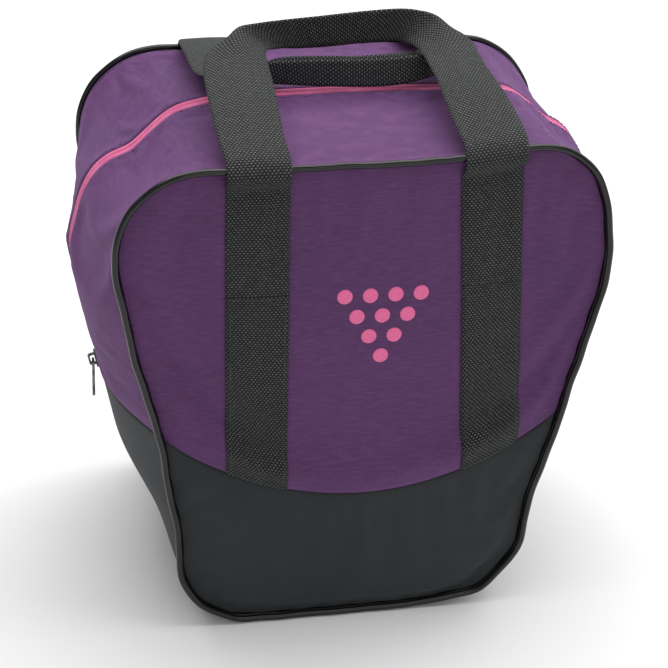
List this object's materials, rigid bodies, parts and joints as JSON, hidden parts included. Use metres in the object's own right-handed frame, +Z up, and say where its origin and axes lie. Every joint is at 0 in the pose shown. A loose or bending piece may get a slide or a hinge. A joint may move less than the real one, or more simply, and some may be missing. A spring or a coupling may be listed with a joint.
{
  "type": "bowling ball bag",
  "caption": "Soft single-ball tote with a zip over the top, two webbing carry loops, piped panels and a dark boot base.",
  "frame": {"origin": "on the ground under the middle of the base", "axes": "+Z up, the front panel looks along -Y, +X to the right seen from the front"},
  "size_m": [0.3606, 0.2318, 0.3716],
  "materials": {
    "shell_fabric": "fine ribbed polyester, matt with a faint sheen",
    "boot_fabric": "fine ribbed polyester, matt",
    "webbing": "coarse basket-woven polypropylene, matt",
    "piping": "smooth soft PVC, semi-gloss",
    "zip_tape": "knitted polyester tape",
    "zip_coil": "nylon coil",
    "zip_metal": "dark gunmetal lacquer",
    "foam": "closed-cell foam, matt",
    "board": "extruded stiffener sheet",
    "binding": "woven seam tape"
  },
  "bodies": {
    "root": {"boot_gusset": "boot_fabric", "base_board": "board", "ball_ring": "foam", "zip_end_left": "zip_tape", "zip_end_right": "zip_tape", "front_boot_panel": "boot_fabric", "front_boot_foam": "foam", "front_piping_lower": "piping", "front_boot_binding": "binding", "back_boot_panel": "boot_fabric", "back_boot_foam": "foam", "back_piping_lower": "piping", "back_boot_binding": "binding"},
    "front_half": {"front_panel": "shell_fabric", "front_foam": "foam", "front_gusset": "shell_fabric", "front_piping_upper": "piping", "front_binding": "binding", "front_strap_left": "webbing", "front_strap_right": "webbing", "front_zip_tape": "zip_tape", "front_zip_coil": "zip_coil"},
    "back_half": {"back_panel": "shell_fabric", "back_foam": "foam", "back_gusset": "shell_fabric", "back_piping_upper": "piping", "back_binding": "binding", "back_strap_left": "webbing", "back_strap_right": "webbing", "back_zip_tape": "zip_tape", "back_zip_coil": "zip_coil"},
    "front_handle": {"front_handle_left_leg": "webbing", "front_handle_grip": "webbing", "front_handle_right_leg": "webbing"},
    "back_handle": {"back_handle_left_leg": "webbing", "back_handle_grip": "webbing", "back_handle_right_leg": "webbing"},
    "zip_slider": {"zip_slider": "zip_metal"},
    "zip_pull": {"zip_pull": "zip_metal"}
  },
  "joints": [
    {"name": "mouth_open", "type": "hinge", "parent": "root", "child": "front_half", "pos_m": [0, -0.1095, 0.147], "axis": [1, 0, 0], "range_deg": [0, 33]},
    {"name": "back_half_fold", "type": "hinge", "parent": "root", "child": "back_half", "pos_m": [0, 0.1095, 0.147], "axis": [-1, 0, 0], "range_deg": [0, 33]},
    {"name": "front_handle_swing", "type": "hinge", "parent": "front_half", "child": "front_handle", "pos_m": [0, -0.1095, 0.332], "axis": [1, 0, 0], "range_deg": [0, 200]},
    {"name": "back_handle_swing", "type": "hinge", "parent": "back_half", "child": "back_handle", "pos_m": [0, 0.1095, 0.332], "axis": [-1, 0, 0], "range_deg": [0, 200]},
    {"name": "slider_run", "type": "slide", "parent": "root", "child": "zip_slider", "axis": [-0.2126, 0, 0.9771], "range_m": [0, 0.07]},
    {"name": "pull_swing", "type": "hinge", "parent": "zip_slider", "child": "zip_pull", "pos_m": [-0.16553, 0, 0.149], "axis": [0, 1, 0], "range_deg": [-8, 112]}
  ],
  "couplings": [
    {"joint": "back_half_fold", "follows": "mouth_open", "ratio": 1},
    {"joint": "back_handle_swing", "follows": "front_handle_swing", "ratio": 1}
  ]
}
